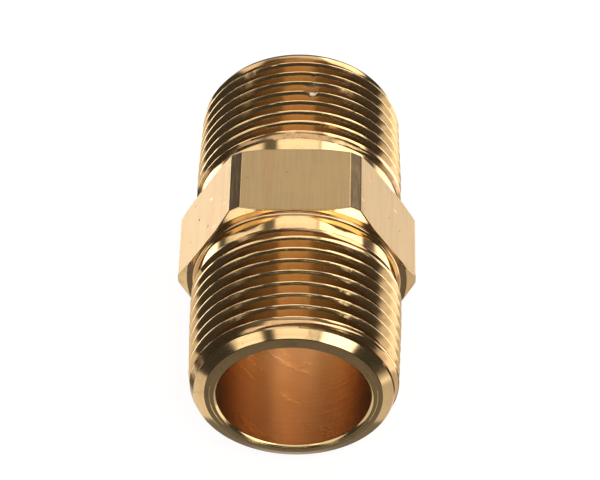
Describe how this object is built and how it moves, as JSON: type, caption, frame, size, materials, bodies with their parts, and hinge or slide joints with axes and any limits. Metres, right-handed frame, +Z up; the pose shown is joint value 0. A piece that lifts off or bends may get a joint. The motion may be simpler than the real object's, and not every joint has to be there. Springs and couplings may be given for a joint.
{
  "type": "hex nipple",
  "caption": "Brass hex nipple: a wrench hexagon between tapered male pipe threads, with a straight bore right through.",
  "frame": {"origin": "middle of the bore, halfway between the two end faces", "axes": "+Y along the bore, +Z up out of the hexagon's top flat, +X to the right across two of the hexagon's corners; the part lies on its bottom flat"},
  "size_m": [0.0304, 0.0482, 0.027],
  "materials": {
    "brass": "bright turned brass, with drawn bar finish on the hexagon's flats"
  },
  "bodies": {
    "root": {"nipple_body": "brass"}
  },
  "joints": []
}
